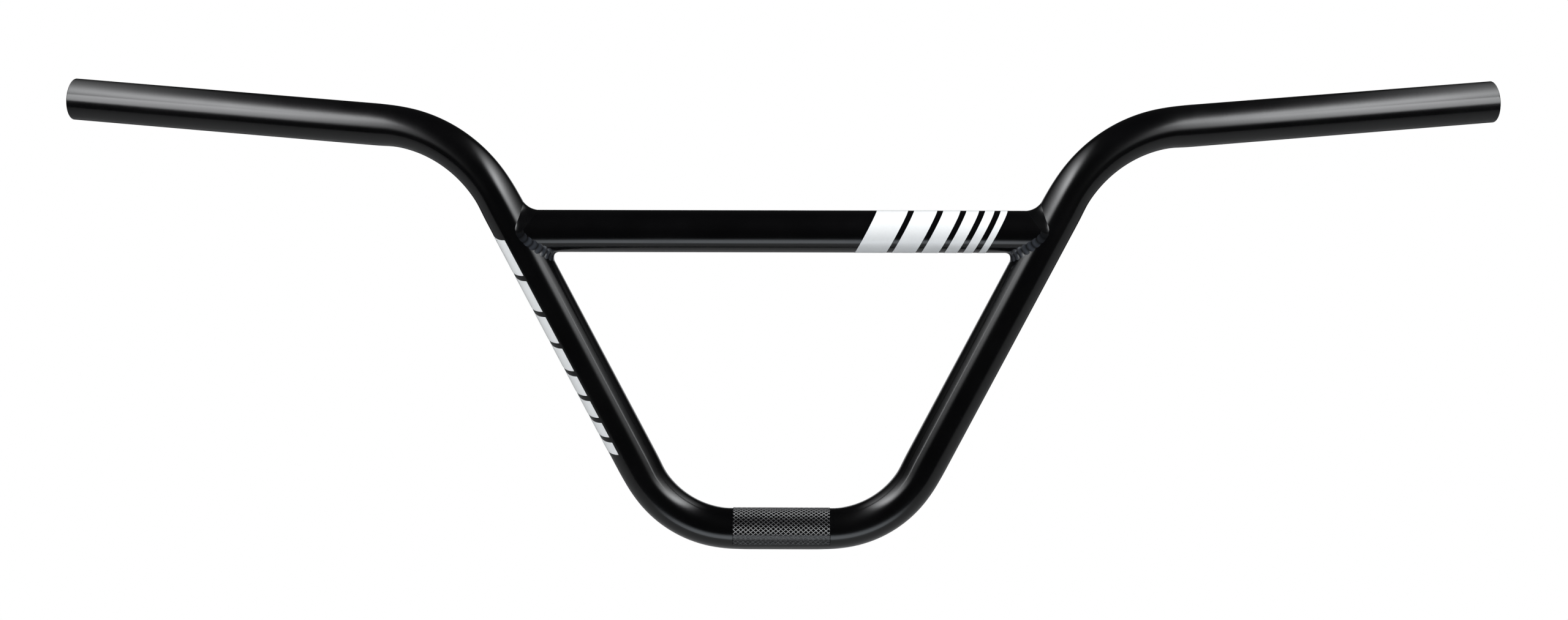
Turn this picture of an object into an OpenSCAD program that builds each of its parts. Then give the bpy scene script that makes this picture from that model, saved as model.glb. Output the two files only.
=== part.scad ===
// A BMX handlebar: one steel tube bent four times, a straight crossbar mitred
// and welded between its legs, a knurled zone for the stem, and white graphics.
// Millimetres. The origin is on the tube's axis at the middle of the stem's
// clamp zone, +X runs along that axis, +Y towards the rider and +Z up.

/* [Main tube] */
// Outside diameter of the bent tube
tube_d = 22.2; // [19:0.1:26]
// Wall thickness of the bent tube
tube_wall = 1.2; // [0.8:0.1:3]
// Straight length that the stem clamps
clamp_len = 50; // [30:1:80]
// How much smaller the tube's radius gets where it is bent
bend_thinning = 0.05; // [0.02:0.01:0.3]

/* [Lower bends] */
// Bend radius on the tube's axis
lower_bend_r = 54; // [35:1:80]
// Angle that each leg stands at above the clamp's axis
leg_angle = 62.4; // [50:0.1:75]

/* [Legs] */
// Straight length of each leg
leg_len = 164; // [120:1:230]

/* [Upper bends] */
// Bend radius on the tube's axis
upper_bend_r = 71.5; // [40:0.5:90]

/* [Arms] */
// Straight length of each arm, which takes the grip
arm_len = 178; // [130:1:220]
// Angle that each arm rises towards its end
upsweep = 4.2; // [0:0.1:8]
// Angle that each arm sweeps back towards the rider
backsweep = 11; // [4:0.5:16]

/* [Crossbar] */
// Height from the crossbar's axis up to the start of the upper bends
crossbar_drop = 16.3; // [14:0.1:60]
// Outside diameter of the crossbar
crossbar_d = 22.2; // [14:0.1:22.2]
// Wall thickness of the crossbar
crossbar_wall = 1.2; // [0.8:0.1:3]

/* [Weld beads] */
// How far each bead reaches over both tubes at its top and bottom
bead_corner = 5; // [3:0.1:7]
// How far it reaches over them at its front and back
bead_front = 2.5; // [1.5:0.1:4]
// How far its lower half sits over on the leg, and its upper half on the crossbar
bead_shift = 1.4; // [0:0.1:2]
// Height of its middle above the tubes at its front and back
bead_crown = 0.8; // [0.5:0.1:1.5]
// Ripples round each bead
ripple_count = 24; // [16:1:40]
// Depth of a ripple
ripple_depth = 0.3; // [0:0.05:0.6]

/* [Graphics] */
// Thickness of the printed film
film_t = 0.12; // [0.05:0.01:0.4]
// Lean of the crossbar's stripes from upright
stripe_lean = 28; // [0:1:40]
// Width of the crossbar's widest stripe
stripe_w = 16.3; // [8:0.1:22]
// Gap between two stripes, and between two of the leg's blocks
stripe_gap = 3.2; // [1.5:0.1:6]
// Number of stripes on the crossbar
stripe_count = 6; // [2:1:7]
// Distance from the right leg's axis back to the middle of the last stripe's end
stripe_margin = 28; // [26:0.5:60]
// Length of the leg's longest block
block_l = 21; // [10:0.5:24]
// Number of blocks on the leg
block_count = 8; // [2:1:8]
// Distance from the leg's upper end down to its first block
block_start = 16; // [8:0.5:30]
// Width of the leg's blocks across the tube
block_w = 16; // [6:0.5:18]

/* [Hidden] */

round_fn = 96;
overrun = 1;
tube_r = tube_d / 2;
bore_r = tube_r - tube_wall;
cross_r = crossbar_d / 2;
cross_bore_r = cross_r - crossbar_wall;

// The right half's path: straight stretches as a start and a direction
leg_dir = [cos(leg_angle), 0, sin(leg_angle)];
arm_dir = [cos(upsweep) * cos(backsweep), cos(upsweep) * sin(backsweep), sin(upsweep)];
lower_bend_start = [clamp_len / 2, 0, 0];
leg_start = lower_bend_start + lower_bend_r * [sin(leg_angle), 0, 1 - cos(leg_angle)];
leg_end = leg_start + leg_len * leg_dir;
upper_bend_angle = acos(leg_dir * arm_dir);
upper_bend_in = unit(arm_dir - (arm_dir * leg_dir) * leg_dir);
arm_start = leg_end + upper_bend_r * (sin(upper_bend_angle) * leg_dir
            + (1 - cos(upper_bend_angle)) * upper_bend_in);

// Where the crossbar's axis meets the right leg's axis
crossbar_rise = leg_end.z - crossbar_drop;
joint_x = leg_start.x + (crossbar_rise - leg_start.z) / tan(leg_angle);

// Each bend starts and ends this many degrees inside its straight neighbours
bend_dip = 0.6;

// Each stripe and block is this share of the one before it
stripe_taper = 0.74;
block_taper = 0.86;
// The blocks lie on the left leg's outer side, turned this far towards the front
block_turn = 11;
// How far the bead's path cuts its corners, enough for the bead not to fold over itself
seam_rounding = 1.25 * bead_front;
// Depth of a bead's feet and root below the tubes' surfaces
bead_sink = 0.3;
bead_root = 1.5;
// A bead's rings, and the places across its face where it has a corner
rings_per_ripple = 2;
face_shares = [0, 0.25, 0.5, 0.75, 1];

function unit(v) = v / norm(v);

// Places children with their Z along dir and their X as near x_hint as it can be
module stand(at, dir, x_hint) {
    z = unit(dir);
    y = unit(cross(z, x_hint));
    x = cross(y, z);
    multmatrix([[x.x, y.x, z.x, at.x], [x.y, y.y, z.y, at.y], [x.z, y.z, z.z, at.z], [0, 0, 0, 1]])
        children();
}

module straight(at, dir, r, len, over = 0)
    stand(at, dir, [0, 1, 0]) cylinder(r = r, h = len + over, $fn = round_fn);

// A bent stretch that starts at a point, runs along dir and turns towards inward
module bent(at, dir, inward, bend_r, angle, r)
    stand(at + bend_r * inward, cross(-inward, dir), -inward)
        rotate([0, 0, -bend_dip]) rotate_extrude(angle = angle + 2 * bend_dip, $fn = round_fn)
            translate([bend_r, 0]) circle(r = r - bend_thinning, $fn = round_fn);

// The right half outside the clamp zone, as a solid rod of radius r
module half_rod(r, over) {
    bent(lower_bend_start, [1, 0, 0], [0, 0, 1], lower_bend_r, leg_angle, r);
    straight(leg_start, leg_dir, r, leg_len);
    bent(leg_end, leg_dir, upper_bend_in, upper_bend_r, upper_bend_angle, r);
    straight(arm_start, arm_dir, r, arm_len, over);
}

module rod(r, over = 0) {
    straight([-clamp_len / 2, 0, 0], [1, 0, 0], r, clamp_len);
    half_rod(r, over);
    mirror([1, 0, 0]) half_rod(r, over);
}

module main_tube() {
    color("#0b0b0d") difference() {
        rod(tube_r);
        rod(bore_r, overrun);
    }
}

// The right leg as a solid rod of the tube's outside radius
module right_leg_rod() {
    straight(leg_start, leg_dir, tube_r, leg_len);
}

module crossbar() {
    color("#0b0b0d") difference() {
        straight([-joint_x, 0, crossbar_rise], [1, 0, 0], cross_r, 2 * joint_x);
        straight([-joint_x, 0, crossbar_rise], [1, 0, 0], cross_bore_r, 2 * joint_x);
        for (side = [0, 1]) mirror([side, 0, 0]) right_leg_rod();
    }
}

// The bead's path, a full turn round the crossbar: the corner between it and the
// right leg, rounded where the corner's two halves meet at the front and back
function seam(a) =
    let (y = cross_r * cos(a), up = cross_r * sin(a),
         depth = sqrt(tube_r * tube_r - y * y + seam_rounding * seam_rounding))
    [joint_x + (up * cos(leg_angle) - depth) / sin(leg_angle), y, crossbar_rise + up];

// A point moved straight to just under the leg's or the crossbar's surface
function under_leg(p) =
    let (radial = from_leg(p)) p + (tube_r - bead_sink - norm(radial)) * unit(radial);

function under_crossbar(p) =
    let (radial = [0, p.y, p.z - crossbar_rise]) p + (cross_r - bead_sink - norm(radial)) * unit(radial);

// From the right leg's axis to a point
function from_leg(p) =
    let (d = p - [joint_x, 0, crossbar_rise]) d - (d * leg_dir) * leg_dir;

// One ring of the bead: a hollow face from the crossbar to the leg, and its root
function bead_ring(i, rings) =
    let (a = 360 * i / rings,
         p = seam(a),
         along = unit(seam(a + 1) - seam(a - 1)),
         bar_out = [0, cos(a), sin(a)],
         leg_out = unit(from_leg(p)),
         out = unit(bar_out + leg_out),
         reach = bead_front + (bead_corner - bead_front) * sin(a) * sin(a),
         shift = 2 * bead_shift * sin(a) * abs(cos(a)),
         bar_foot = under_crossbar(p + (reach + shift) * cross(along, bar_out)),
         leg_foot = under_leg(p + (reach - shift) * cross(leg_out, along)),
         height = bead_crown - (i % rings_per_ripple == 0 ? ripple_depth : 0),
         middle = p + (2 * height + bead_sink) * out)
    concat([for (t = face_shares) pow(1 - t, 2) * bar_foot + 2 * t * (1 - t) * middle + t * t * leg_foot],
           [p - bead_root * out]);

module bead_ring_body() {
    rings = ripple_count * rings_per_ripple;
    sides = len(face_shares) + 1;
    corners = [for (i = [0 : rings - 1]) each bead_ring(i, rings)];
    faces = [for (i = [0 : rings - 1], k = [0 : sides - 1])
        let (j = (i + 1) % rings, m = (k + 1) % sides)
        each [[i * sides + k, i * sides + m, j * sides + m],
              [i * sides + k, j * sides + m, j * sides + k]]];
    polyhedron(corners, faces, convexity = 6);
}

module right_weld() {
    color("#101113") difference() {
        bead_ring_body();
        straight([0, 0, crossbar_rise], [1, 0, 0], cross_r, joint_x);
        right_leg_rod();
    }
}

module left_weld() {
    mirror([1, 0, 0]) right_weld();
}

// Start of the n-th of a row of shrinking lengths, each followed by a gap
function row_start(n, first, share, gap) =
    n * gap + first * (1 - pow(share, n)) / (1 - share);

// Leaning stripes that get narrower towards the weld, on the front of the crossbar
module crossbar_decal() {
    lean = cross_r * tan(stripe_lean);
    row_l = row_start(stripe_count, stripe_w, stripe_taper, stripe_gap) - stripe_gap;
    color("#eef0f0") translate([joint_x - stripe_margin - row_l, 0, crossbar_rise]) intersection() {
        translate([-lean, 0, 0]) film([1, 0, 0], cross_r, row_l + 2 * lean);
        rotate([90, 0, 0]) linear_extrude(height = cross_r + 2 * film_t)
            for (i = [0 : stripe_count - 1])
                let (x = row_start(i, stripe_w, stripe_taper, stripe_gap),
                     w = stripe_w * pow(stripe_taper, i))
                polygon([[x - lean, -cross_r], [x + w - lean, -cross_r],
                         [x + w + lean, cross_r], [x + lean, cross_r]]);
    }
}

// A thin tube outside radius r, along dir
module film(dir, r, len) {
    difference() {
        straight([0, 0, 0], dir, r + film_t, len);
        straight(-overrun * dir, dir, r, len, 2 * overrun);
    }
}

// Leaning blocks that get shorter down the left leg, on its outer side
module leg_decal() {
    lean = block_w / 2 * tan(stripe_lean);
    down = [cos(leg_angle), 0, -sin(leg_angle)];
    out = [-sin(leg_angle) * cos(block_turn), -sin(block_turn), -cos(leg_angle) * cos(block_turn)];
    top = [-leg_end.x, 0, leg_end.z];
    color("#eef0f0") translate(top) intersection() {
        film(down, tube_r, leg_len);
        stand([0, 0, 0], out, down) linear_extrude(height = tube_r + 2 * film_t)
            for (i = [0 : block_count - 1])
                let (x = block_start + row_start(i, block_l, block_taper, stripe_gap),
                     l = block_l * pow(block_taper, i))
                polygon([[x - lean, -block_w / 2], [x + l - lean, -block_w / 2],
                         [x + l + lean, block_w / 2], [x + lean, block_w / 2]]);
    }
}

main_tube();
crossbar();
left_weld();
right_weld();
crossbar_decal();
leg_decal();
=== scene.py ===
"""Dresses the bmx handlebar for its render.

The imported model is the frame. Each of its nodes is modelled here again at a finer
grain, in metres and in the same place: the bent tube with its knurled clamp zone,
the coped crossbar, the two rippled weld beads and the two rows of white film.
"""

import logging
import math
from dataclasses import dataclass, field
from enum import Enum

import bpy
import numpy as np
from mathutils import Matrix, Vector


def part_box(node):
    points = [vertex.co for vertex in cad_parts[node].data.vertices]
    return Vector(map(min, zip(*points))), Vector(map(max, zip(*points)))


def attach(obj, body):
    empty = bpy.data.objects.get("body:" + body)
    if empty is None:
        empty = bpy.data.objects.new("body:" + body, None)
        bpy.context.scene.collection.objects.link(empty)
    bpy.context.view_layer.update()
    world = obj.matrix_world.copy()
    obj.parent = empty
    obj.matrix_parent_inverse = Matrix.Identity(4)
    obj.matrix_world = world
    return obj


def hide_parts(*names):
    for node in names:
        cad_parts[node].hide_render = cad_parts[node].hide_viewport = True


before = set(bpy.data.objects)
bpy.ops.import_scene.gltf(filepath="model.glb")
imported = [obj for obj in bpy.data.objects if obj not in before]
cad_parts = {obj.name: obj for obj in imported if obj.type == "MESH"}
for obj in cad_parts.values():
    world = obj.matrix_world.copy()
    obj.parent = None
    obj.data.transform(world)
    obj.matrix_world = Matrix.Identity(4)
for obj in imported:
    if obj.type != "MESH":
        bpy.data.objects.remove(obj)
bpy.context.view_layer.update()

MM = 0.001
BODY = "root"
PHOTO_WIDTH = 2560
SHARP_ANGLE = 40.0
# The attribute that marks the weld ripples' crests for a painted highlight.
CREST_HIGHLIGHT = "crest_highlight_mask"
KEPT_LAYERS = ("sharp_face", "material_index", CREST_HIGHLIGHT)
MERGE_GAP = 1e-6
RIGHT = np.array([1.0, 0.0, 0.0])
FRONT = np.array([0.0, -1.0, 0.0])
UP = np.array([0.0, 0.0, 1.0])
MIRROR = np.array([-1.0, 1.0, 1.0])

log = logging.getLogger("handlebar")

Socket = bpy.types.NodeSocket
Feed = Socket | float | int | bool | tuple | str
Colour = tuple[float, float, float]
Stance = tuple[np.ndarray, np.ndarray, np.ndarray]
Source = tuple[str, bpy.types.Mesh, dict[str, object]]


class Slot(Enum):
    """The record's material slots."""

    PAINT = "gloss_black_paint"
    WELD = "painted_weld"
    FILM = "white_graphics"


class TreeWriter:
    """Adds nodes to a node tree and links them in the same call."""

    def __init__(self, tree: bpy.types.NodeTree) -> None:
        """Keeps the tree that the nodes go into.

        Args:
            tree: A shader or geometry tree.
        """
        self.tree = tree

    def feed(self, socket: Socket, value: Feed) -> None:
        """Links a socket to another one, or sets its value.

        Args:
            socket: The input that takes the value.
            value: An output socket or a plain value.
        """
        if isinstance(value, bpy.types.NodeSocket):
            self.tree.links.new(value, socket)
        else:
            socket.default_value = value

    def add(self, kind: str, feeds: dict[str | int, Feed] | None = None,
            **settings: object) -> bpy.types.Node:
        """Adds a node.

        Args:
            kind: The node's type name.
            feeds: Its inputs by name or index.
            **settings: Its properties.

        Returns:
            The new node.
        """
        node = self.tree.nodes.new(kind)
        for name, value in settings.items():
            setattr(node, name, value)
        for key, value in (feeds or {}).items():
            self.feed(node.inputs[key], value)
        return node

    def math(self, operation: str, *values: Feed) -> Socket:
        """The result of a Math node on one to three values."""
        return self.add("ShaderNodeMath", dict(enumerate(values)), operation=operation).outputs[0]

    def times(self, a: Feed, b: Feed) -> Socket:
        """The product of two numbers."""
        return self.math("MULTIPLY", a, b)

    def plus(self, a: Feed, b: Feed) -> Socket:
        """The sum of two numbers."""
        return self.math("ADD", a, b)

    def minus(self, a: Feed, b: Feed) -> Socket:
        """The first of two numbers less the second."""
        return self.math("SUBTRACT", a, b)

    def vector(self, operation: str, *values: Feed) -> Socket:
        """The vector result of a Vector Math node on one to three vectors."""
        node = self.add("ShaderNodeVectorMath", dict(enumerate(values)), operation=operation)
        return node.outputs["Vector"]

    def dot(self, a: Feed, b: Feed) -> Socket:
        """The dot product of two vectors."""
        return self.add("ShaderNodeVectorMath", {0: a, 1: b}, operation="DOT_PRODUCT").outputs["Value"]

    def scaled(self, a: Feed, factor: Feed) -> Socket:
        """A vector times a number."""
        return self.add("ShaderNodeVectorMath", {0: a, "Scale": factor}, operation="SCALE").outputs["Vector"]


class ShaderTree(TreeWriter):
    """A new material's tree, whose patterns lie in Object coordinates."""

    def __init__(self, name: str) -> None:
        """Starts the material.

        Args:
            name: The material's name.
        """
        self.material = bpy.data.materials.new(name)
        self.material.use_nodes = True
        super().__init__(self.material.node_tree)
        self.place = self.add("ShaderNodeTexCoord").outputs["Object"]

    def noise(self, size: float, detail: float) -> Socket:
        """A cloudy pattern with spots of a given size."""
        return self.add("ShaderNodeTexNoise", {"Vector": self.place, "Scale": 1 / size,
                                               "Detail": detail}).outputs["Fac"]

    def spread(self, pattern: Socket, low: float, high: float) -> Socket:
        """A noise pattern's usual values, spread from a low to a high one."""
        return self.add("ShaderNodeMapRange", {"Value": pattern, "From Min": 0.3, "From Max": 0.7,
                                               "To Min": low, "To Max": high}).outputs["Result"]

    def blend(self, share: Socket, *colours: Colour | Socket) -> Socket:
        """The first of two colours turning into the second."""
        a, b = (colour if isinstance(colour, Socket) else (*colour, 1.0) for colour in colours)
        return self.add("ShaderNodeMix", {"Factor": share, "A": a, "B": b},
                        data_type="RGBA").outputs["Result"]

    def bump(self, pattern: Socket, height: float, **under: Socket) -> Socket:
        """The normal of a surface raised by a pattern, over an earlier one given as Normal."""
        return self.add("ShaderNodeBump", {"Height": pattern, "Distance": height,
                                           **under}).outputs["Normal"]

    def finished(self, feeds: dict[str, Feed]) -> bpy.types.Material:
        """The material, with its surface fed."""
        shader = self.tree.nodes["Principled BSDF"]
        for name, value in feeds.items():
            self.feed(shader.inputs[name], value)
        return self.material


class ShapeTree(TreeWriter):
    """A Geometry Nodes tree with named sizes, run once on a mesh of stations."""

    def __init__(self, name: str) -> None:
        """Starts a tree with one geometry input and one output.

        Args:
            name: The tree's name.
        """
        super().__init__(bpy.data.node_groups.new(name, "GeometryNodeTree"))
        for way in ("INPUT", "OUTPUT"):
            self.tree.interface.new_socket("Geometry", in_out=way, socket_type="NodeSocketGeometry")
        self.start = self.add("NodeGroupInput")
        self.end = self.add("NodeGroupOutput")

    def size(self, name: str, kind: str = "Float") -> Socket:
        """A named input of the tree, such as a Float, Int, Vector or Material."""
        self.tree.interface.new_socket(name, in_out="INPUT", socket_type="NodeSocket" + kind)
        return self.start.outputs[name]

    def attribute(self, name: str, kind: str = "FLOAT") -> Socket:
        """A named attribute of the geometry."""
        node = self.add("GeometryNodeInputNamedAttribute", {"Name": name}, data_type=kind)
        return node.outputs["Attribute"]

    def vectors(self, *names: str) -> list[Socket]:
        """Named vector attributes of the geometry."""
        return [self.attribute(name, "FLOAT_VECTOR") for name in names]

    def stored(self, geometry: Socket, name: str, value: Socket) -> Socket:
        """The geometry with one more number kept on its points."""
        node = self.add("GeometryNodeStoreNamedAttribute",
                        {"Geometry": geometry, "Name": name, "Value": value},
                        data_type="FLOAT", domain="POINT")
        return node.outputs["Geometry"]

    def skinned(self) -> tuple[Socket, Socket]:
        """The chain of stations, skinned with a ring of as many sides as the size Sides says.

        Returns:
            The skin, of which only the faces matter yet, and its points' angle round the ring.
        """
        circle = self.add("GeometryNodeCurvePrimitiveCircle",
                          {"Resolution": self.size("Sides", "Int"), "Radius": 1.0})
        share = self.add("GeometryNodeSplineParameter").outputs["Factor"]
        profile = self.stored(circle.outputs["Curve"], "angle", self.times(share, math.tau))
        path = self.add("GeometryNodeMeshToCurve", {"Mesh": self.start.outputs["Geometry"]})
        skin = self.add("GeometryNodeCurveToMesh", {"Curve": path.outputs["Curve"],
                                                    "Profile Curve": profile, "Fill Caps": True})
        return skin.outputs["Mesh"], self.attribute("angle")

    def placed(self, geometry: Socket, position: Socket) -> Socket:
        """The geometry with each point at a position."""
        node = self.add("GeometryNodeSetPosition", {"Geometry": geometry, "Position": position})
        return node.outputs["Geometry"]

    def coated(self, geometry: Socket, material: Socket, where: Feed = True) -> Socket:
        """The geometry with a material on its faces, or on those of a selection."""
        node = self.add("GeometryNodeSetMaterial",
                        {"Geometry": geometry, "Selection": where, "Material": material})
        return node.outputs["Geometry"]

    def ended(self, geometry: Socket, *coats: tuple[Socket, Feed]) -> None:
        """Ends the tree: real geometry, smooth faces and materials.

        Args:
            geometry: The finished shape.
            *coats: Material and selection pairs; a later one wins.
        """
        real = self.add("GeometryNodeRealizeInstances", {"Geometry": geometry}).outputs["Geometry"]
        smooth = self.add("GeometryNodeSetShadeSmooth", {"Geometry": real}).outputs["Geometry"]
        for material, where in coats:
            smooth = self.coated(smooth, material, where)
        self.feed(self.end.inputs["Geometry"], smooth)

    def made(self, name: str, stations: bpy.types.Mesh, sizes: dict[str, object]) -> bpy.types.Object:
        """Runs the tree on a mesh and keeps the result as a plain mesh object.

        Args:
            name: The new object's name.
            stations: The mesh that the tree starts from.
            sizes: The value of each named input.

        Returns:
            An object at the origin, without modifiers.
        """
        piece = linked(name, stations)
        modifier = piece.modifiers.new("shape", "NODES")
        modifier.node_group = self.tree
        for item in self.tree.interface.items_tree:
            if item.in_out == "INPUT" and item.name in sizes:
                modifier[item.identifier] = sizes[item.name]
        graph = bpy.context.evaluated_depsgraph_get()
        mesh = bpy.data.meshes.new_from_object(piece.evaluated_get(graph), depsgraph=graph)
        piece.modifiers.clear()
        piece.data = mesh
        mesh.name = name
        spare = [layer.name for layer in mesh.attributes if not (
            layer.is_required or layer.is_internal or layer.name in KEPT_LAYERS)]
        for layer in spare:
            mesh.attributes.remove(mesh.attributes[layer])
        if mesh.materials[0] is None:
            mesh.materials.pop(index=0)
        if signed_volume(mesh) < 0:
            mesh.flip_normals()
        mesh.set_sharp_from_angle(angle=math.radians(SHARP_ANGLE))
        return piece


def linked(name: str, data: bpy.types.ID) -> bpy.types.Object:
    """A new object, in the scene."""
    thing = bpy.data.objects.new(name, data)
    bpy.context.scene.collection.objects.link(thing)
    return thing


def stood(place: Feed | Vector, *axes: Vector) -> Matrix:
    """The matrix of an object at a place, with its own three axes along these."""
    return Matrix.Translation(place) @ Matrix(axes).transposed().to_4x4()


def signed_volume(mesh: bpy.types.Mesh) -> float:
    """The volume in a closed mesh, below zero where its faces point inwards."""
    mesh.calc_loop_triangles()
    places = np.empty(len(mesh.vertices) * 3)
    corners = np.empty(len(mesh.loop_triangles) * 3, dtype=np.int32)
    mesh.vertices.foreach_get("co", places)
    mesh.loop_triangles.foreach_get("vertices", corners)
    a, b, c = places.reshape(-1, 3)[corners.reshape(-1, 3)].transpose(1, 0, 2)
    return float((a * np.cross(b, c)).sum() / 6)


def ring_of(count: int) -> list[tuple[int, int]]:
    """The edges that join a number of stations in a closed ring."""
    return [(i, (i + 1) % count) for i in range(count)]


def station_mesh(name: str, columns: dict[str, np.ndarray],
                 edges: list[tuple[int, int]]) -> bpy.types.Mesh:
    """Chains of points whose attributes say what the shape is at each of them.

    Args:
        name: The mesh's name.
        columns: One row for each station; rows of three numbers are vectors.
        edges: The pairs of stations that follow each other.

    Returns:
        The chains, laid out along X only to keep their points apart.
    """
    count = len(next(iter(columns.values())))
    mesh = bpy.data.meshes.new(name)
    mesh.from_pydata([(i * MM, 0.0, 0.0) for i in range(count)], edges, [])
    for key, rows in columns.items():
        kind, slot = ("FLOAT_VECTOR", "vector") if rows.ndim == 2 else ("FLOAT", "value")
        layer = mesh.attributes.new(key, kind, "POINT")
        layer.data.foreach_set(slot, rows.astype(np.float32).ravel())
    return mesh


def unit(rows: np.ndarray) -> np.ndarray:
    """Each row divided by its length."""
    return rows / np.linalg.norm(rows, axis=-1, keepdims=True)


def hand_in(piece: bpy.types.Object, node: str) -> None:
    """Puts a piece on the body, in place of its CAD node.

    Args:
        piece: The finished piece.
        node: The CAD node that it stands for.
    """
    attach(piece, BODY)
    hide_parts(node)
    built = [Vector(v) for v in piece.bound_box]
    low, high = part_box(node)
    stray = max(max(low[i] - v[i], v[i] - high[i]) for v in built for i in range(3))
    log.info("%s: %d faces, at most %.2f mm outside its node's box",
             piece.name, len(piece.data.polygons), stray / MM)


@dataclass(frozen=True)
class GlossPaint:
    """Gloss black paint over steel: a dark coat with a fine orange-peel surface."""

    name: str = "gloss black paint"
    deep: Colour = (0.0008, 0.0008, 0.001)
    # The paler tone: random drift on the plain paint, lifted into a painted sheen on the knurl's ridges.
    worn_and_sheen: Colour = (0.0018, 0.0018, 0.0021)
    roughness: float = 0.22
    roughness_spread: float = 0.04
    specular: float = 0.22
    coat: float = 0.45
    coat_roughness: float = 0.13
    cloud_size: float = 30 * MM
    peel_size: float = 1.6 * MM
    peel_height: float = 0.006 * MM
    wave_size: float = 14 * MM
    wave_height: float = 0.02 * MM

    def material(self) -> bpy.types.Material:
        """The paint as a material on Object coordinates."""
        tree = ShaderTree(self.name)
        cloud = tree.noise(self.cloud_size, 3.0)
        roughness = tree.spread(cloud, self.roughness - self.roughness_spread,
                                self.roughness + self.roughness_spread)
        wavy = tree.bump(tree.noise(self.wave_size, 1.0), self.wave_height)
        peeled = tree.bump(tree.noise(self.peel_size, 2.0), self.peel_height, Normal=wavy)
        return tree.finished({
            "Base Color": self.base(tree, cloud), "Roughness": roughness,
            "Specular IOR Level": self.specular, "Coat Weight": self.coat,
            "Coat Roughness": self.coat_roughness, "Normal": peeled, "Coat Normal": peeled})

    def base(self, tree: ShaderTree, cloud: Socket) -> Socket:
        """The paint's own colour, which drifts a little from place to place."""
        return tree.blend(cloud, self.deep, self.worn_and_sheen)


@dataclass(frozen=True)
class WeldPaint(GlossPaint):
    """The same paint over a weld, with a painted highlight: pale bluish grey on the crests of its lower
    ripples.
    """

    name: str = "weld paint with painted crest highlights"
    roughness: float = 0.3
    peel_height: float = 0.02 * MM
    # Painted highlight colour, laid on the lower ripples' crests in place of the light that they catch.
    crest_highlight_colour: Colour = (0.036, 0.04, 0.048)

    def base(self, tree: ShaderTree, cloud: Socket) -> Socket:
        """The paint's colour, with the painted highlight on the ripples' crests."""
        crest_highlight_mask = tree.add("ShaderNodeAttribute", attribute_name=CREST_HIGHLIGHT).outputs["Fac"]
        return tree.blend(crest_highlight_mask, super().base(tree, cloud), self.crest_highlight_colour)


@dataclass(frozen=True)
class BoreSteel:
    """The tube's inside: dull dark steel with a haze of overspray."""

    name: str = "dull bore steel"
    dark: Colour = (0.03, 0.03, 0.032)
    pale: Colour = (0.09, 0.088, 0.085)
    cloud_size: float = 6 * MM
    metallic: float = 0.7
    roughness: float = 0.55

    def material(self) -> bpy.types.Material:
        """The bore's finish as a material on Object coordinates."""
        tree = ShaderTree(self.name)
        colour = tree.blend(tree.noise(self.cloud_size, 5.0), self.dark, self.pale)
        return tree.finished({"Base Color": colour, "Metallic": self.metallic,
                              "Roughness": self.roughness})


@dataclass(frozen=True)
class WhiteFilm:
    """White printed film under a thin clear layer."""

    name: str = "white film"
    colour: Colour = (0.92, 0.93, 0.93)
    grain_size: float = 0.8 * MM
    grain_height: float = 0.004 * MM
    grain_shade: float = 0.965
    roughness: float = 0.35
    coat: float = 0.5
    coat_roughness: float = 0.08

    def material(self) -> bpy.types.Material:
        """The film as a material on Object coordinates."""
        tree = ShaderTree(self.name)
        grain = tree.noise(self.grain_size, 2.0)
        colour = tree.scaled(self.colour, tree.spread(grain, self.grain_shade, 1.0))
        return tree.finished({
            "Base Color": colour, "Roughness": self.roughness, "Coat Weight": self.coat,
            "Coat Roughness": self.coat_roughness, "Normal": tree.bump(grain, self.grain_height)})


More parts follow.
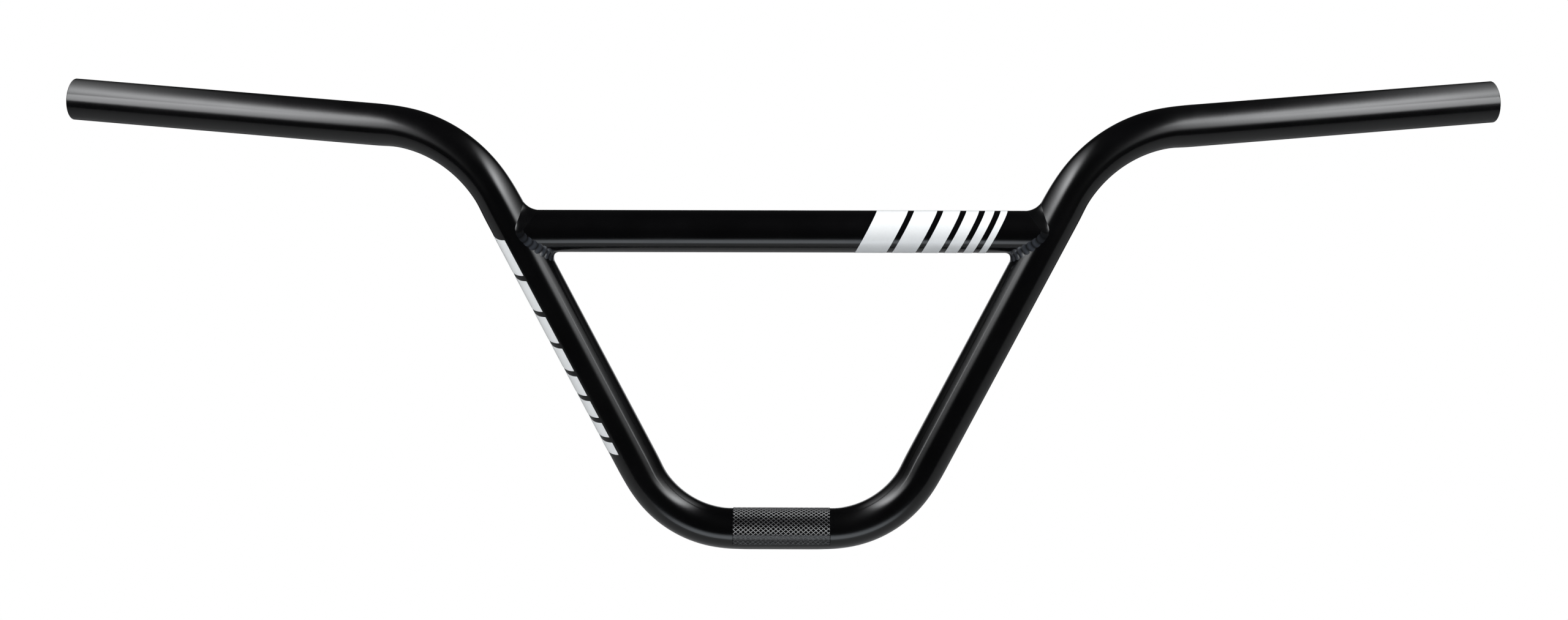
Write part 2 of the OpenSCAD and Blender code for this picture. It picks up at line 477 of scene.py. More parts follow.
@dataclass
class BarSizes:
    """The handlebar's driving sizes, in metres and degrees, as the solids have them."""

    tube_r: float = 11.1 * MM
    wall: float = 1.2 * MM
    clamp_len: float = 50 * MM
    lower_bend_r: float = 54 * MM
    leg_angle: float = 62.4
    leg_len: float = 164 * MM
    upper_bend_r: float = 71.5 * MM
    arm_len: float = 178 * MM
    upsweep: float = 4.2
    backsweep: float = 11.0
    crossbar_drop: float = 16.3 * MM
    crossbar_r: float = 11.1 * MM

    def __post_init__(self) -> None:
        """Works out where each stretch of the right half starts and which way it runs."""
        lean, rise, back = (math.radians(a) for a in (self.leg_angle, self.upsweep, self.backsweep))
        self.leg_dir = np.array([math.cos(lean), 0.0, math.sin(lean)])
        self.arm_dir = np.array([math.cos(rise) * math.cos(back), math.cos(rise) * math.sin(back),
                                 math.sin(rise)])
        self.lower_in = UP
        self.lower_start = np.array([self.clamp_len / 2, 0.0, 0.0])
        self.leg_start = self.lower_start + self.lower_bend_r * np.array(
            [math.sin(lean), 0.0, 1 - math.cos(lean)])
        self.leg_end = self.leg_start + self.leg_len * self.leg_dir
        self.upper_angle = math.acos(float(self.leg_dir @ self.arm_dir))
        self.upper_in = unit(self.arm_dir - (self.arm_dir @ self.leg_dir) * self.leg_dir)
        self.lower_len = self.lower_bend_r * lean
        self.upper_len = self.upper_bend_r * self.upper_angle
        self.stops = np.cumsum([self.clamp_len / 2, self.lower_len, self.leg_len,
                                self.upper_len, self.arm_len])
        self.crossbar_rise = float(self.leg_end[2]) - self.crossbar_drop
        self.joint_x = float(self.leg_start[0]) + (
            self.crossbar_rise - float(self.leg_start[2])) / math.tan(lean)

    def turn(self, start: np.ndarray, along: np.ndarray, inward: np.ndarray, radius: float,
             angle: float) -> Stance:
        """A point of a bend: where it is, which way it runs and which way it curves.

        Args:
            start: The bend's first point.
            along: Its direction there.
            inward: The direction to its centre there.
            radius: Its radius.
            angle: How far round it the point is, in radians.

        Returns:
            The point, its direction and the direction to the bend's centre.
        """
        c, s = math.cos(angle), math.sin(angle)
        point = start + radius * (s * along + (1 - c) * inward)
        return point, c * along + s * inward, c * inward - s * along

    def right_half(self, arc: float) -> Stance:
        """The axis at a distance from the middle, on the right: point, direction, way of the bend."""
        clamp, lower, leg, upper, _ = self.stops
        if arc <= clamp:
            return arc * RIGHT, RIGHT, self.lower_in
        if arc <= lower:
            return self.turn(self.lower_start, RIGHT, self.lower_in, self.lower_bend_r,
                             (arc - clamp) / self.lower_bend_r)
        if arc <= leg:
            nearer = self.lower_in if arc < (lower + leg) / 2 else self.upper_in
            inward = unit(nearer - (nearer @ self.leg_dir) * self.leg_dir)
            return self.leg_start + (arc - lower) * self.leg_dir, self.leg_dir, inward
        angle = min(arc - leg, self.upper_len) / self.upper_bend_r
        point, along, inward = self.turn(
            self.leg_end, self.leg_dir, self.upper_in, self.upper_bend_r, angle)
        return point + max(0.0, arc - upper) * self.arm_dir, along, inward

    def bend_share(self, arc: float, ease: float) -> float:
        """How much of a bend's flattening a point has: 1 in a bend, 0 some way off."""
        arc = abs(arc)
        clamp, lower, leg, upper, _ = self.stops
        out = min(max(clamp - arc, arc - lower), max(leg - arc, arc - upper))
        share = min(1.0, max(0.0, 0.5 - out / ease))
        return share * share * (3 - 2 * share)

    def axis(self, arc: float) -> Stance:
        """The axis at a signed distance from the middle; the left half mirrors the right."""
        point, along, inward = self.right_half(abs(arc))
        if arc < 0:
            return point * MIRROR, along * MIRROR * -1.0, inward * MIRROR
        return point, along, inward


class Piece:
    """A piece of the object, made by its tree from its stations and sizes."""

    def tree(self) -> ShapeTree:
        """The piece's tree."""
        raise NotImplementedError

    def source(self) -> Source:
        """The piece's name, its stations and the sizes that its tree takes."""
        raise NotImplementedError

    def build(self, **finishes: bpy.types.Material) -> bpy.types.Object:
        """Makes the piece as one mesh of closed shells.

        Args:
            **finishes: Its materials, by the names that its tree gives them.

        Returns:
            The finished piece.
        """
        name, stations, sizes = self.source()
        return self.tree().made(name, stations, sizes | finishes)


@dataclass(frozen=True)
class Knurl:
    """The knurl's sizes: diamonds between crossing ridges, with a plain strip underneath."""

    half_len: float = 25.5 * MM
    pitches: tuple[float, float] = (2.54 * MM, 2.76 * MM)
    starts: tuple[int, int] = (30, 31)
    depth: float = 0.3 * MM
    ridge_width: float = 0.5 * MM
    ridge_sides: int = 12
    plain_strip: float = 49.0
    embed: float = 0.05 * MM
    steps: int = 56

    def runs(self) -> list[tuple[np.ndarray, np.ndarray, float]]:
        """The ridges, cut off at the plain strip.

        Returns:
            For each ridge its distances along the tube, its angles from the top and its turn per metre.
        """
        along = np.linspace(-self.half_len, self.half_len, self.steps)
        found: list[tuple[np.ndarray, np.ndarray, float]] = []
        for way, pitch, starts in zip((1.0, -1.0), self.pitches, self.starts):
            climb = way * math.tau / (starts * pitch)
            for start in range(starts):
                angle = climb * along + start * math.tau / starts
                clear = np.abs(angle % math.tau - math.pi) > math.radians(self.plain_strip)
                cuts = np.flatnonzero(np.diff(clear)) + 1
                for piece in np.split(np.arange(self.steps), cuts):
                    if clear[piece[0]] and len(piece) > 1:
                        found.append((along[piece], angle[piece], climb))
        return found


@dataclass
class KnurlRidges(Piece):
    """The knurl's ridges, each a rib wound part of the way round the clamp zone."""

    sizes: BarSizes
    knurl: Knurl

    def tree(self) -> ShapeTree:
        """The tree that gives each ridge its section, a half round with a flat foot."""
        t = ShapeTree("knurl ridges")
        width, height, paint = t.size("Width"), t.size("Height"), t.size("Paint", "Material")
        skin, angle = t.skinned()
        rise = t.times(t.math("MAXIMUM", t.math("SINE", angle), 0.0), height)
        aside = t.times(t.math("COSINE", angle), t.math("DIVIDE", width, 2.0))
        foot, outward, across = t.vectors("foot", "outward", "across")
        position = t.vector("ADD", foot, t.vector("ADD", t.scaled(outward, rise), t.scaled(across, aside)))
        t.ended(t.placed(skin, position), (paint, True))
        return t

    def source(self) -> Source:
        """The ridges' name, stations and sizes."""
        k = self.knurl
        foot_r = self.sizes.tube_r - k.depth - k.embed
        feet, outs, sides, edges = [], [], [], []
        for along, angle, climb in k.runs():
            first = sum(len(rows) for rows in feet)
            edges += [(first + i, first + i + 1) for i in range(len(along) - 1)]
            out = np.stack([np.zeros_like(angle), -np.sin(angle), np.cos(angle)], axis=1)
            round_way = np.stack([np.zeros_like(angle), -np.cos(angle), -np.sin(angle)], axis=1)
            run = unit(RIGHT + climb * self.sizes.tube_r * round_way)
            feet.append(foot_r * out + along[:, None] * RIGHT)
            outs.append(out)
            sides.append(np.cross(run, out))
        columns = {"foot": feet, "outward": outs, "across": sides}
        stations = station_mesh("ridge stations", {key: np.concatenate(rows)
                                                   for key, rows in columns.items()}, edges)
        return "knurl_ridges", stations, {
            "Sides": k.ridge_sides, "Width": k.ridge_width, "Height": k.depth + k.embed}


@dataclass
class BentTube(Piece):
    """The bent tube: outside, square-cut ends and bore, sunk a little where the knurl lies."""

    sizes: BarSizes
    knurl: Knurl
    sides: int = 160
    knurl_step: float = 3 * MM
    bend_squeeze: float = 0.035
    squeeze_ease: float = 16 * MM
    bend_step: float = 2.4 * MM
    plain_step: float = 20 * MM
    edge: float = 0.25 * MM
    edge_turns: tuple[float, ...] = (0.0, 30.0, 60.0, 90.0)
    knurl_ramp: tuple[float, ...] = (0.3 * MM, 0.6 * MM)
    knurl_margin: float = 1.2 * MM

    def half_arcs(self, step: float) -> list[float]:
        """Distances from the middle at which the right half has a ring, past the knurl.

        Args:
            step: The rings' distance in and near a bend.

        Returns:
            The distances, up to just before the end's softened edge.
        """
        clamp, lower, leg, upper, end = self.sizes.stops
        reach = self.squeeze_ease / 2
        first, last = self.knurl.half_len + self.knurl_margin, end - 2 * self.edge
        stretches = [(first, lower + reach, step), (lower + reach, leg - reach, self.plain_step),
                     (leg - reach, upper + reach, step), (upper + reach, last, self.plain_step)]
        arcs: list[float] = []
        for start, stop, gap in stretches:
            count = max(1, math.ceil((stop - start) / gap))
            arcs += [start + (stop - start) * i / count for i in range(count)]
        return arcs + [last]

    def rings(self) -> list[tuple[float, float, float, float]]:
        """Every ring in order: outside from left to right, then back through the bore.

        Returns:
            For each ring its arc, radius, share of the knurl's depth and bore share.
        """
        r, bore = self.sizes.tube_r, self.sizes.tube_r - self.sizes.wall
        end = float(self.sizes.stops[-1])
        zone = self.knurl.half_len
        count = round(zone / self.knurl_step)
        knurl = [(zone * i / count, r, 1.0, 0.0) for i in range(-count, count + 1)]
        outside = [zone + past for past in self.knurl_ramp] + self.half_arcs(self.bend_step)
        turns = [math.radians(turn) for turn in self.edge_turns]
        right = [(s, r, 0.0, 0.0) for s in outside]
        right += [(end - self.edge * (1 - math.sin(a)), r - self.edge * (1 - math.cos(a)), 0.0, 0.0)
                  for a in turns]
        right += [(end - self.edge * (1 - math.cos(a)), bore + self.edge * (1 - math.sin(a)), 0.0, 1.0)
                  for a in turns]
        right += [(s, bore, 0.0, 1.0) for s in reversed(self.half_arcs(2 * self.bend_step))]
        left = [(-s, *rest) for s, *rest in reversed(right)]
        return left[-len(outside):] + knurl + right + left[:-len(outside)]

    def frames(self, arcs: list[float]) -> tuple[np.ndarray, np.ndarray, np.ndarray, np.ndarray]:
        """Frames that turn with the axis without twisting, for rings in any order.

        Args:
            arcs: Each ring's signed distance from the middle.

        Returns:
            The centres, the two cross directions and the scaled way of the bend.
        """
        order = sorted({abs(a) for a in arcs})
        up = UP
        known: dict[float, np.ndarray] = {}
        for arc in order:
            along = self.sizes.right_half(arc)[1]
            up = unit(up - (up @ along) * along)
            known[arc] = up
        rows: list[list[np.ndarray]] = []
        for arc in arcs:
            point, along, inward = self.sizes.axis(arc)
            normal = known[abs(arc)] * np.array([math.copysign(1.0, arc), 1.0, 1.0])
            share = self.sizes.bend_share(arc, self.squeeze_ease)
            rows.append([point, normal, np.cross(along, normal), inward * math.sqrt(share)])
        return tuple(np.array(column) for column in zip(*rows))

    def tree(self) -> ShapeTree:
        """The tree that skins the rings, flattens the bends and sinks the knurl's ground."""
        t = ShapeTree("bent tube")
        squeeze, depth, strip = (t.size(n) for n in ("Bend squeeze", "Knurl depth", "Plain strip"))
        paint, bore = (t.size(n, "Material") for n in ("Paint", "Bore"))
        skin, angle = t.skinned()
        centre, normal, across, fold = t.vectors("centre", "normal", "across", "fold")
        radial = t.vector("ADD", t.scaled(normal, t.math("COSINE", angle)),
                          t.scaled(across, t.math("SINE", angle)))
        toward = t.dot(radial, fold)
        flattened = t.minus(1.0, t.times(squeeze, t.times(toward, toward)))
        from_below = t.math("ABSOLUTE", t.minus(angle, math.pi))
        cut = t.times(t.attribute("knurl"), t.math("GREATER_THAN", from_below, strip))
        sunk = t.times(cut, depth)
        radius = t.minus(t.times(t.attribute("ring_radius"), flattened), sunk)
        position = t.vector("ADD", centre, t.scaled(radial, radius))
        inside = t.math("GREATER_THAN", t.attribute("bore"), 0.5)
        t.ended(t.placed(skin, position), (paint, True), (bore, inside))
        return t

    def source(self) -> Source:
        """The tube's name, stations and sizes."""
        rings = self.rings()
        arcs, radii, knurl, bored = (list(column) for column in zip(*rings))
        centre, normal, across, fold = self.frames(arcs)
        stations = station_mesh("tube rings", {
            "centre": centre, "normal": normal, "across": across, "fold": fold,
            "ring_radius": np.array(radii), "knurl": np.array(knurl), "bore": np.array(bored)},
            ring_of(len(rings)))
        return "bent_tube", stations, {
            "Sides": self.sides, "Bend squeeze": self.bend_squeeze, "Knurl depth": self.knurl.depth,
            "Plain strip": math.radians(self.knurl.plain_strip)}


@dataclass
class Crossbar(Piece):
    """The straight crossbar, a tube whose ends are coped to the legs."""

    sizes: BarSizes
    sides: int = 128
    spans: int = 8

    def tree(self) -> ShapeTree:
        """The tree that skins the rings and copes the ends to the legs."""
        t = ShapeTree("crossbar")
        leg_r, lean, rise = (t.size(n) for n in ("Leg radius", "Leg angle", "Rise"))
        paint, bore = (t.size(n, "Material") for n in ("Paint", "Bore"))
        skin, angle = t.skinned()
        radius = t.attribute("ring_radius")
        y = t.times(radius, t.math("SINE", angle))
        up = t.times(radius, t.math("COSINE", angle))
        depth = t.math("SQRT", t.math("MAXIMUM", 0.0, t.minus(
            t.times(leg_r, leg_r), t.times(y, y))))
        cope = t.math("DIVIDE", t.minus(t.times(up, t.math("COSINE", lean)), depth),
                      t.math("SINE", lean))
        x = t.plus(t.attribute("x"), t.times(cope, t.attribute("side")))
        position = t.add("ShaderNodeCombineXYZ", {"X": x, "Y": y, "Z": t.plus(rise, up)})
        inside = t.math("GREATER_THAN", t.attribute("bore"), 0.5)
        t.ended(t.placed(skin, position.outputs["Vector"]), (paint, True), (bore, inside))
        return t

    def source(self) -> Source:
        """The crossbar's name, stations and sizes."""
        s = self.sizes
        shares = np.linspace(-1.0, 1.0, self.spans + 1)
        radii = (s.crossbar_r, s.crossbar_r - s.wall)
        share = np.concatenate([shares, shares[::-1]])
        stations = station_mesh("crossbar rings", {
            "x": share * s.joint_x, "side": share,
            "ring_radius": np.repeat(radii, len(shares)), "bore": np.repeat((0.0, 1.0), len(shares))},
            ring_of(len(share)))
        return "straight_crossbar", stations, {
            "Sides": self.sides, "Leg radius": s.tube_r, "Leg angle": math.radians(s.leg_angle),
            "Rise": s.crossbar_rise}


@dataclass
class WeldBead(Piece):
    """The rippled bead round one end of the crossbar, hollow-faced as the solid is."""

    sizes: BarSizes
    side: int
    corner: float = 5.5 * MM
    front: float = 2.5 * MM
    shift: float = 1.4 * MM
    crowns: tuple[float, float] = (0.1 * MM, 0.35 * MM)
    sink: float = 0.1 * MM
    root: float = 1.5 * MM
    rounding: float = 3.125 * MM
    ripples: int = 36
    ripple_depth: float = 0.4 * MM
    ripple_fade: tuple[float, float] = (0.35, 1.5)
    # How sharply the painted crest highlight fades away from the bead's underside.
    crest_highlight_power: float = 3.0
    crescent: float = 0.5
    stations: int = 432
    sides: int = 28

    def seam(self, turn: np.ndarray) -> np.ndarray:
        """The right joint's rounded corner line, by the angle round the crossbar."""
        s = self.sizes
        lean = math.radians(s.leg_angle)
        y, up = s.crossbar_r * np.cos(turn), s.crossbar_r * np.sin(turn)
        depth = np.sqrt(s.tube_r**2 - y**2 + self.rounding**2)
        return np.stack([s.joint_x + (up * math.cos(lean) - depth) / math.sin(lean), y,
                         s.crossbar_rise + up], axis=1)

    def from_bar(self, place: np.ndarray) -> np.ndarray:
        """From the crossbar's axis straight out to each place."""
        return (place - self.sizes.crossbar_rise * UP) * (1.0 - RIGHT)

    def from_leg(self, place: np.ndarray) -> np.ndarray:
        """From the leg's axis straight out to each place."""
        s = self.sizes
        offset = place - np.array([s.joint_x, 0.0, s.crossbar_rise])
        return offset - (offset @ s.leg_dir)[:, None] * s.leg_dir

    def pressed(self, place: np.ndarray, radial: np.ndarray, radius: float) -> np.ndarray:
        """Places moved straight to just under a tube's surface."""
        return place + (radius - self.sink - np.linalg.norm(radial, axis=1, keepdims=True)) * unit(radial)

    def columns(self) -> dict[str, np.ndarray]:
        """The bead's section at each station: its two feet, its middle and its root."""
        s = self.sizes
        turn = np.linspace(0.0, math.tau, self.stations, endpoint=False)
        step = math.radians(1)
        path = self.seam(turn)
        along = unit(self.seam(turn + step) - self.seam(turn - step))
        bar_out = np.stack([np.zeros_like(turn), np.cos(turn), np.sin(turn)], axis=1)
        leg_out = unit(self.from_leg(path))
        out = unit(bar_out + leg_out)
        reach = self.front + (self.corner - self.front) * np.sin(turn)**2
        shift = 2 * self.shift * np.sin(turn) * np.abs(np.cos(turn))
        bar_foot = path + (reach + shift)[:, None] * np.cross(along, bar_out)
        leg_foot = path + (reach - shift)[:, None] * np.cross(leg_out, along)
        crown = np.interp(np.cos(turn)**2, (0.0, 1.0), self.crowns)
        middle, fade = self.ripple_fade
        flip = np.array([self.side, 1.0, 1.0])
        return {"bar_foot": self.pressed(bar_foot, self.from_bar(bar_foot), s.crossbar_r) * flip,
                "leg_foot": self.pressed(leg_foot, self.from_leg(leg_foot), s.tube_r) * flip,
                "crown": (path + (2 * crown + self.sink)[:, None] * out) * flip,
                "root": (path - 2 * self.root * out) * flip, "out": out * flip, "turn": turn,
                "rippled": np.clip(middle - fade * np.sin(turn), 0.0, 1.0)}

    def tree(self) -> ShapeTree:
        """The tree that skins the section and lays the ripples over it."""
        t = ShapeTree("weld bead")
        ripples, depth, crescent = (t.size(n) for n in ("Ripples", "Ripple depth", "Crescent"))
        paint = t.size("Paint", "Material")
        skin, angle = t.skinned()
        upper = t.math("LESS_THAN", angle, math.pi)
        half = t.math("PINGPONG", t.math("DIVIDE", angle, math.pi), 1.0)
        rest = t.minus(1.0, half)
        root, crown, bar_foot, leg_foot, out = t.vectors("root", "crown", "bar_foot", "leg_foot", "out")
        control = t.add("ShaderNodeMix", {"Factor": upper, 4: root, 5: crown}, data_type="VECTOR")
        parts = [t.scaled(bar_foot, t.times(rest, rest)), t.scaled(leg_foot, t.times(half, half)),
                 t.scaled(control.outputs[1], t.times(2.0, t.times(half, rest)))]
        body = t.vector("ADD", t.vector("ADD", parts[0], parts[1]), parts[2])
        off = t.minus(t.times(half, 2.0), 1.0)
        bow = t.times(crescent, t.times(off, off))
        share = t.math("DIVIDE", t.attribute("turn"), math.tau)
        phase = t.plus(t.times(share, ripples), bow)
        saw = t.minus(t.times(t.math("FRACT", phase), 2.0), 1.0)
        inner = t.times(upper, t.minus(1.0, t.times(off, off)))
        rippled = t.attribute("rippled")
        height = t.times(t.times(inner, depth), rippled)
        dip = t.times(t.times(saw, saw), height)
        position = t.vector("SUBTRACT", body, t.scaled(out, dip))
        # Painted highlight: a mask on the ripples' crests, strongest under the bead, where the paint is made
        # pale and bluish.
        crest_highlight_mask = t.times(t.math("POWER", rippled, self.crest_highlight_power),
                       t.minus(1.0, t.times(saw, saw)))
        t.ended(t.placed(t.stored(skin, CREST_HIGHLIGHT, crest_highlight_mask), position), (paint, True))
        return t

    def source(self) -> Source:
        """The bead's name, stations and sizes."""
        name = "right_bead" if self.side > 0 else "left_bead"
        stations = station_mesh(name + " stations", self.columns(), ring_of(self.stations))
        return name, stations, {
            "Sides": self.sides, "Ripples": float(self.ripples), "Ripple depth": self.ripple_depth,
            "Crescent": self.crescent}


@dataclass
class FilmRow(Piece):
    """A row of leaning film stripes on a tube, each a fixed share of the one before it."""

    name: str
    origin: np.ndarray
    along: np.ndarray
    out: np.ndarray
    tube_r: float
    first: float
    share: float
    count: int
    half_height: float
    gap: float = 3.2 * MM
    lean: float = 28.0
    thickness: float = 0.12 * MM
    sink: float = 0.05 * MM
    steps: tuple[int, int] = (10, 40)

    def tree(self) -> ShapeTree:
        """The tree that sets the stripes in a row and wraps them round the tube."""
        t = ShapeTree("film row")
        count = t.size("Count", "Int")
        first, share, gap = t.size("First length"), t.size("Share"), t.size("Gap")
        slope, reach = t.size("Slope"), t.size("Reach")
        radius, thickness = t.size("Inner radius"), t.size("Thickness")
        origin, along, out, side = (t.size(n, "Vector") for n in ("Origin", "Along", "Out", "Side"))
        film = t.size("Film", "Material")
        number = t.add("GeometryNodeInputIndex").outputs["Index"]
        shrunk = t.math("POWER", share, number)
        row = t.math("DIVIDE", t.times(first, t.minus(1.0, shrunk)),
                     t.minus(1.0, share))
        start = t.plus(row, t.times(number, gap))
        place = t.add("ShaderNodeCombineXYZ", {"X": start})
        points = t.add("GeometryNodePoints", {"Count": count, "Position": place.outputs["Vector"]})
        patch = t.add("GeometryNodeMeshGrid", {"Size X": 1.0, "Size Y": 1.0,
                                               "Vertices X": self.steps[0], "Vertices Y": self.steps[1]})
        moved = t.add("GeometryNodeTransform", {"Geometry": patch.outputs["Mesh"],
                                                "Translation": (0.5, 0.0, 0.0)})
        size = t.add("ShaderNodeCombineXYZ", {"X": t.times(first, shrunk), "Y": 1.0, "Z": 1.0})
        stripes = t.add("GeometryNodeInstanceOnPoints", {
            "Points": points.outputs["Points"], "Instance": moved.outputs["Geometry"],
            "Scale": size.outputs["Vector"]})
        flat = t.add("GeometryNodeRealizeInstances", {"Geometry": stripes.outputs["Instances"]})
        here = t.add("ShaderNodeSeparateXYZ", {"Vector": t.add("GeometryNodeInputPosition").outputs[0]})
        angle = t.times(here.outputs["Y"], t.times(reach, 2.0))
        height = t.times(radius, t.math("SINE", angle))
        x = t.plus(here.outputs["X"], t.times(height, slope))
        outward = t.times(radius, t.math("COSINE", angle))
        wrapped = t.vector("ADD", t.vector("ADD", origin, t.scaled(along, x)),
                           t.vector("ADD", t.scaled(out, outward), t.scaled(side, height)))
        bent = t.placed(flat.outputs["Geometry"], wrapped)
        raised = t.add("GeometryNodeExtrudeMesh",
                       {"Mesh": bent, "Offset Scale": thickness, "Individual": False})
        back = t.add("GeometryNodeFlipFaces", {"Mesh": bent})
        shell = t.add("GeometryNodeJoinGeometry")
        for part in (raised.outputs["Mesh"], back.outputs["Mesh"]):
            t.feed(shell.inputs["Geometry"], part)
        merged = t.add("GeometryNodeMergeByDistance",
                       {"Geometry": shell.outputs["Geometry"], "Distance": MERGE_GAP})
        t.ended(merged.outputs["Geometry"], (film, True))
        return t

    def source(self) -> Source:
        """The row's name, an empty mesh and its sizes."""
        return self.name, bpy.data.meshes.new(self.name + " seed"), {
            "Count": self.count, "First length": self.first, "Share": self.share, "Gap": self.gap,
            "Slope": math.tan(math.radians(self.lean)),
            "Reach": math.asin(min(1.0, self.half_height / self.tube_r)),
            "Inner radius": self.tube_r - self.sink, "Thickness": self.thickness + self.sink,
            "Origin": tuple(self.origin), "Along": tuple(self.along), "Out": tuple(self.out),
            "Side": tuple(np.cross(self.out, self.along))}


@dataclass
class Graphics:
    """Both rows of white film, at the places the solids give them."""

    sizes: BarSizes
    crossbar_first: float = 16.3 * MM
    crossbar_share: float = 0.74
    crossbar_count: int = 6
    crossbar_margin: float = 28 * MM
    leg_first: float = 21 * MM
    leg_share: float = 0.86
    leg_count: int = 8
    leg_start: float = 16 * MM
    leg_half_width: float = 8 * MM
    leg_turn: float = 11.0
    gap: float = 3.2 * MM

    def crossbar_row(self) -> FilmRow:
        """The stripes on the crossbar's front, narrowing towards the right weld."""
        n, share = self.crossbar_count, self.crossbar_share
        length = (n - 1) * self.gap + self.crossbar_first * (1 - share**n) / (1 - share)
        start = self.sizes.joint_x - self.crossbar_margin - length
        return FilmRow("crossbar_stripes", np.array([start, 0.0, self.sizes.crossbar_rise]),
                       RIGHT, FRONT, self.sizes.crossbar_r, self.crossbar_first, share, n,
                       self.sizes.crossbar_r, self.gap)

    def leg_row(self) -> FilmRow:
        """The blocks on the left leg's outer side, shrinking downwards."""
        s, turn = self.sizes, math.radians(self.leg_turn)
        lean = math.radians(s.leg_angle)
        down = np.array([math.cos(lean), 0.0, -math.sin(lean)])
        out = np.array([-math.sin(lean) * math.cos(turn), -math.sin(turn), -math.cos(lean) * math.cos(turn)])
        return FilmRow("leg_blocks", s.leg_end * MIRROR + self.leg_start * down, down, out, s.tube_r,
                       self.leg_first, self.leg_share, self.leg_count, self.leg_half_width, self.gap)


@dataclass(frozen=True)
class Viewpoint:
    """The photograph's camera, with its focal length in pixels of the whole frame."""

    place: tuple[float, float, float] = (7.1 * MM, -1390.7 * MM, 247.1 * MM)
    forward: tuple[float, float, float] = (-0.0043, 0.9956, -0.0935)
    roll: float = 0.11
    focal_px: float = 4330.84
    sensor: float = 36.0

    def camera(self) -> None:
        """Makes the camera and gives it to the scene."""
        data = bpy.data.cameras.new("photo camera")
        data.sensor_width = self.sensor
        data.lens = self.sensor * self.focal_px / PHOTO_WIDTH
        data.dof.use_dof = False
        forward = Vector(self.forward).normalized()
        right = forward.cross(Vector((0.0, 0.0, 1.0))).normalized()
        up = right.cross(forward)
        turn = math.radians(self.roll)
        c, s = math.cos(turn), math.sin(turn)
        camera = linked("photo camera", data)
        camera.matrix_world = stood(self.place, right * c + up * s, up * c - right * s, -forward)
        bpy.context.scene.camera = camera


@dataclass(frozen=True)
class SoftPanel:
    """A soft panel, whose glow fades from its centre to its edges."""

    name: str
    place: tuple[float, float, float]
    yaw: float
    tilt: float
    roll: float
    half_size: tuple[float, float]
    edge_power: float
    radiance: float
    colour: Colour = (0.97, 0.985, 1.0)
    faintest: float = 0.01

    def axes(self) -> tuple[Vector, Vector, Vector]:
        """The right panel's two edges and the way that its back faces."""
        yaw, tilt, roll = (math.radians(a) for a in (self.yaw, self.tilt, self.roll))
        back = Vector((math.cos(tilt) * math.sin(yaw), -math.cos(tilt) * math.cos(yaw), math.sin(tilt)))
        level = Vector((math.cos(yaw), math.sin(yaw), 0.0))
        upright = level.cross(back)
        return (math.cos(roll) * level + math.sin(roll) * upright,
                math.cos(roll) * upright - math.sin(roll) * level, back)

    def lamp(self, side: int) -> None:
        """Makes one lamp, on the right for side 1 and mirrored on the left for side -1."""
        flip = Vector((side, 1.0, 1.0))
        place = Vector(self.place) * flip
        wide, high, back = (axis * flip for axis in self.axes())
        data = bpy.data.lights.new(f"{self.name} {side}", "AREA")
        data.shape = "RECTANGLE"
        reach = math.sqrt((-math.log(self.faintest)) ** (1 / self.edge_power))
        data.size, data.size_y = (2 * reach * half for half in self.half_size)
        data.energy = self.radiance * math.pi * data.size * data.size_y
        data.color = self.colour
        data.use_nodes = True
        tree = TreeWriter(data.node_tree)
        offset = tree.vector("SUBTRACT", tree.add("ShaderNodeNewGeometry").outputs["Position"], tuple(place))
        shares = [tree.dot(offset, tuple(axis / half)) for axis, half in zip((wide, high), self.half_size)]
        square = tree.math("ADD", *(tree.times(share, share) for share in shares))
        fade = tree.math("EXPONENT", tree.times(tree.math("POWER", square, self.edge_power), -1.0))
        tree.feed(data.node_tree.nodes["Emission"].inputs["Strength"], fade)
        light = linked(data.name, data)
        light.matrix_world = stood(place, high.cross(back), high, back)
        light.visible_camera = False


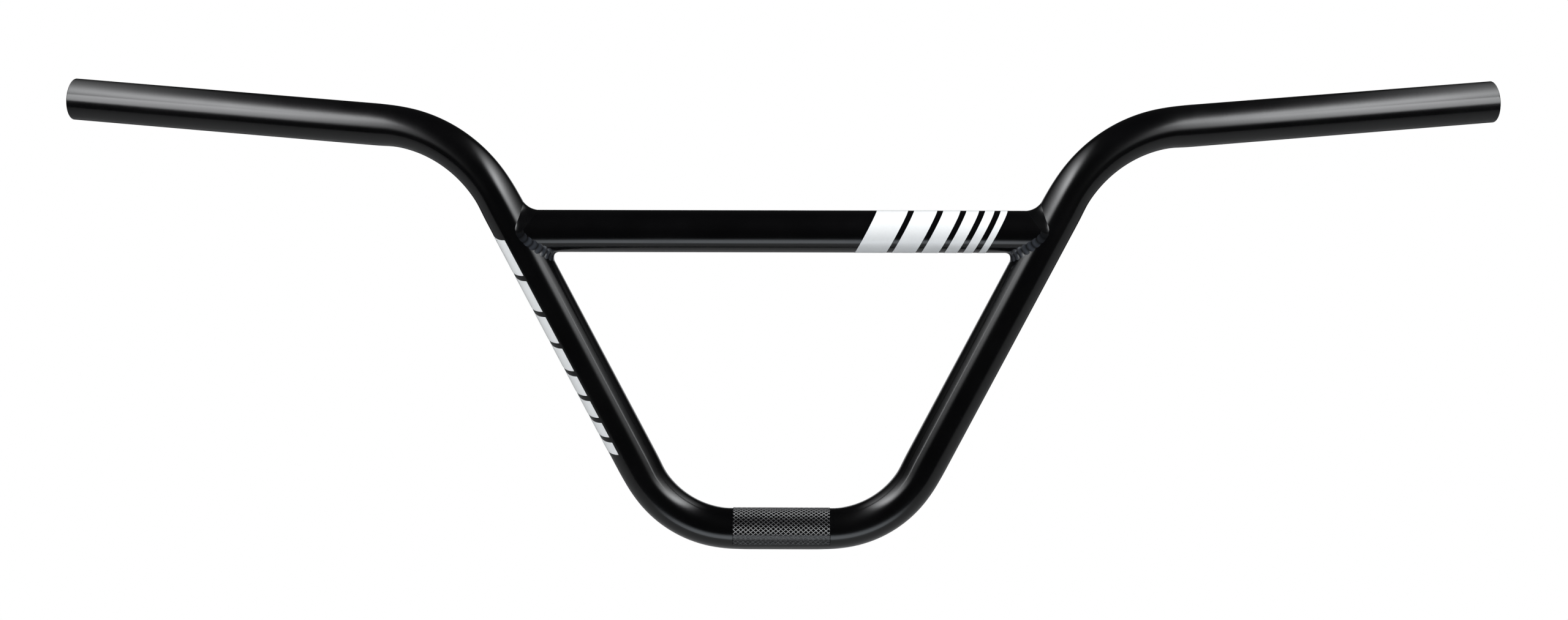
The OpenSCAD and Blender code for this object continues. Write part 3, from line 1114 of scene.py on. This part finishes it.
@dataclass
class Studio:
    """Soft panels beside, below and behind the object, a pale floor and a white surround."""

    side_panels: tuple[SoftPanel, ...] = (
        SoftPanel("broad panel", (0.96, -0.88, 1.06), 99.8, -0.6, -5.0, (0.9, 0.38), 0.97, 11.5),
        SoftPanel("strip panel", (1.18, -0.78, 0.53), -26.9, -8.6, -19.4, (0.96, 0.24), 5.4, 7.5))
    low_panel: SoftPanel = SoftPanel("low panel", (0.0, -0.27, -0.34), 0.0, -72.0, 0.0, (0.3, 0.22), 3.0,
                                     2.2, (0.86, 0.93, 1.0))
    back_panel: SoftPanel = SoftPanel("back panel", (0.0, 1.5, 0.2), 180.0, 0.0, 0.0, (0.8, 0.3), 2.0, 0.8)
    floor_drop: float = 0.35
    floor_x: float = 1.6
    floor_y: tuple[float, float] = (-0.45, 1.25)
    floor_colour: Colour = (0.62, 0.62, 0.62)
    floor_roughness: float = 0.9
    surround: float = 0.02
    ceiling: float = 0.02

    def floor(self) -> None:
        """The pale floor, which ends before the camera's view reaches it."""
        front, back = self.floor_y
        reach, down = self.floor_x, -self.floor_drop
        mesh = bpy.data.meshes.new("floor")
        mesh.from_pydata([(-reach, front, down), (reach, front, down), (reach, back, down),
                          (-reach, back, down)], [], [(0, 1, 2, 3)])
        material = bpy.data.materials.new("pale floor")
        material.use_nodes = True
        shader = material.node_tree.nodes["Principled BSDF"]
        shader.inputs["Base Color"].default_value = (*self.floor_colour, 1.0)
        shader.inputs["Roughness"].default_value = self.floor_roughness
        mesh.materials.append(material)
        floor = linked("floor", mesh)

    def world(self) -> None:
        """A surround that is white to the camera and dim to the object."""
        world = bpy.data.worlds.new("surround")
        world.use_nodes = True
        bpy.context.scene.world = world
        tree = TreeWriter(world.node_tree)
        background = world.node_tree.nodes["Background"]
        camera_ray = tree.add("ShaderNodeLightPath").outputs["Is Camera Ray"]
        # The two levels are equal now, but the gradient still sets how the surround is sampled.
        way = tree.add("ShaderNodeTexCoord").outputs["Generated"]
        up = tree.add("ShaderNodeSeparateXYZ", {"Vector": way}).outputs["Z"]
        dim = tree.add("ShaderNodeMapRange", {"Value": up, "From Min": 0.3, "From Max": 1.0,
                                              "To Min": self.surround, "To Max": self.ceiling})
        level = tree.add("ShaderNodeMix", {"Factor": camera_ray, 2: dim.outputs["Result"], 3: 1.0},
                         data_type="FLOAT")
        tree.feed(background.inputs["Strength"], level.outputs[0])
        background.inputs["Color"].default_value = (1.0, 1.0, 1.0, 1.0)

    def build(self) -> None:
        """Makes the whole studio."""
        for panel in self.side_panels:
            for side in (-1, 1):
                panel.lamp(side)
        self.low_panel.lamp(1)
        self.back_panel.lamp(1)
        self.floor()
        self.world()
        bpy.context.scene.view_settings.view_transform = "Standard"


@dataclass
class Handlebar:
    """The whole object, piece by piece."""

    sizes: BarSizes = field(default_factory=BarSizes)

    def build(self) -> None:
        """Makes each piece in order and puts it in its node's place."""
        paint, bore = GlossPaint().material(), BoreSteel().material()
        weld_paint = WeldPaint().material()
        # The knurl's ridges take a paler copy of the paint: partly rubbed paint, partly a painted sheen
        # standing in for the ridges' glints.
        knurl_sheen_paint = GlossPaint(name="knurl paint, worn and with painted sheen", deep=(0.01, 0.01, 0.011),
                            worn_and_sheen=(0.035, 0.035, 0.038), roughness=0.32, specular=0.65, coat=1.0,
                            coat_roughness=0.12).material()
        film = WhiteFilm().material()
        graphics, knurl = Graphics(self.sizes), Knurl()
        hand_in(BentTube(self.sizes, knurl).build(Paint=paint, Bore=bore), "main_tube")
        hand_in(KnurlRidges(self.sizes, knurl).build(Paint=knurl_sheen_paint), "main_tube")
        hand_in(Crossbar(self.sizes).build(Paint=paint, Bore=bore), "crossbar")
        hand_in(WeldBead(self.sizes, 1).build(Paint=weld_paint), "right_weld")
        hand_in(WeldBead(self.sizes, -1).build(Paint=weld_paint), "left_weld")
        hand_in(graphics.crossbar_row().build(Film=film), "crossbar_decal")
        hand_in(graphics.leg_row().build(Film=film), "leg_decal")


def main() -> None:
    """Builds the camera, the object and the studio."""
    logging.basicConfig(level=logging.INFO, format="%(name)s: %(message)s")
    Viewpoint().camera()
    Handlebar().build()
    Studio().build()


if __name__ == "__main__":
    main()
